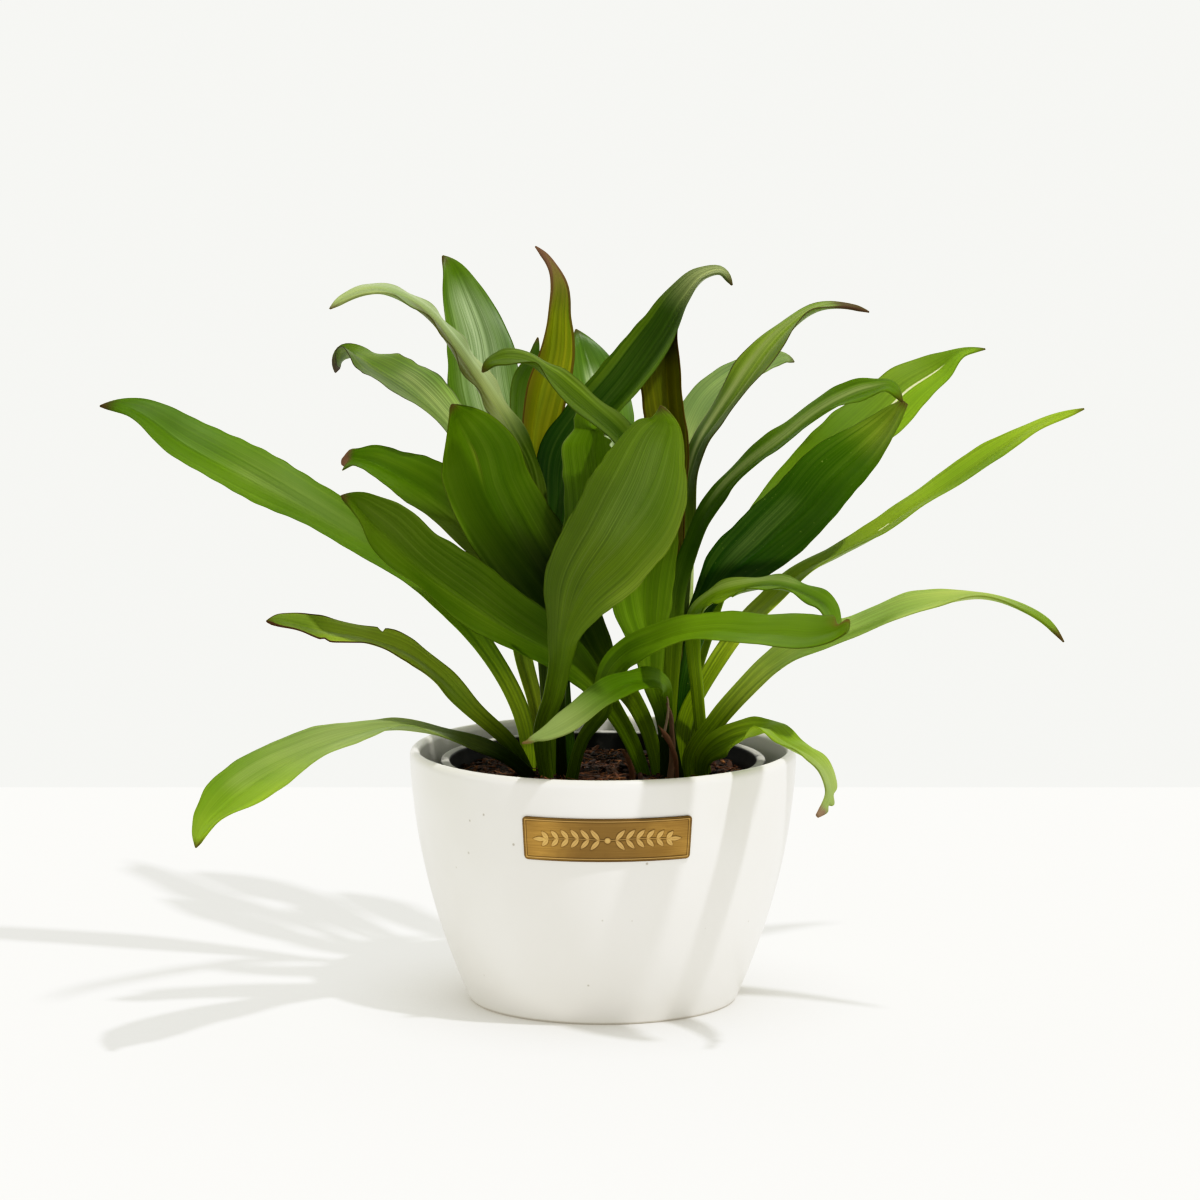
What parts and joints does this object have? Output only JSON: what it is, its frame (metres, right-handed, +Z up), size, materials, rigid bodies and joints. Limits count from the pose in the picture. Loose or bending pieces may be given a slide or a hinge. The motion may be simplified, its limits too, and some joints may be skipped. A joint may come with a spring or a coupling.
{
  "type": "potted ti plant",
  "caption": "Leafy ti plant with arching strap leaves, in a plastic nursery pot that stands in a tapered white ceramic pot with a bare brass plate on its front.",
  "frame": {"origin": "Centre of the ceramic pot's flat underside, on the surface it stands on.", "axes": "+Z is up. -Y is the front, where the brass plate is. +X is to the right seen from the front, and the leaves spread furthest along X."},
  "size_m": [0.462, 0.3949, 0.3464],
  "materials": {
    "ceramic": "satin off-white glaze with fine specks",
    "brass": "brushed antique brass",
    "liner": "moulded black plastic, pale worn rim",
    "soil": "dark brown, coarse and fibrous",
    "leaf_green": "mid green, satin, finely ribbed",
    "leaf_bright": "bright yellow-green, satin, finely ribbed",
    "leaf_dark": "dark green, half gloss, finely ribbed",
    "leaf_grey": "grey-green sheen, finely ribbed",
    "leaf_glossy": "green with a strong gloss",
    "leaf_bronze": "young leaf, bronze with olive streaks"
  },
  "bodies": {
    "root": {"ceramic_pot": "ceramic", "brass_plate": "brass", "nursery_pot": "liner", "potting_soil": "soil", "leaf_left_01": "leaf_bright", "leaf_left_02": "leaf_green", "leaf_left_03": "leaf_bright", "leaf_left_04": "leaf_bright", "leaf_left_05": "leaf_grey", "leaf_left_06": "leaf_grey", "leaf_left_07": "leaf_glossy", "leaf_left_08": "leaf_green", "leaf_left_09": "leaf_bronze", "leaf_left_10": "leaf_dark", "leaf_left_11": "leaf_dark", "leaf_left_12": "leaf_green", "leaf_left_13": "leaf_bright", "leaf_right_01": "leaf_green", "leaf_right_02": "leaf_green", "leaf_right_03": "leaf_bright", "leaf_right_04": "leaf_green", "leaf_right_05": "leaf_bright", "leaf_right_06": "leaf_bright", "leaf_right_07": "leaf_bright", "leaf_right_08": "leaf_dark", "leaf_right_09": "leaf_green", "leaf_right_10": "leaf_bright", "leaf_right_11": "leaf_grey", "leaf_right_12": "leaf_grey", "leaf_right_13": "leaf_bronze", "leaf_right_14": "leaf_glossy", "leaf_right_15": "leaf_grey", "leaf_right_16": "leaf_green"}
  },
  "joints": []
}
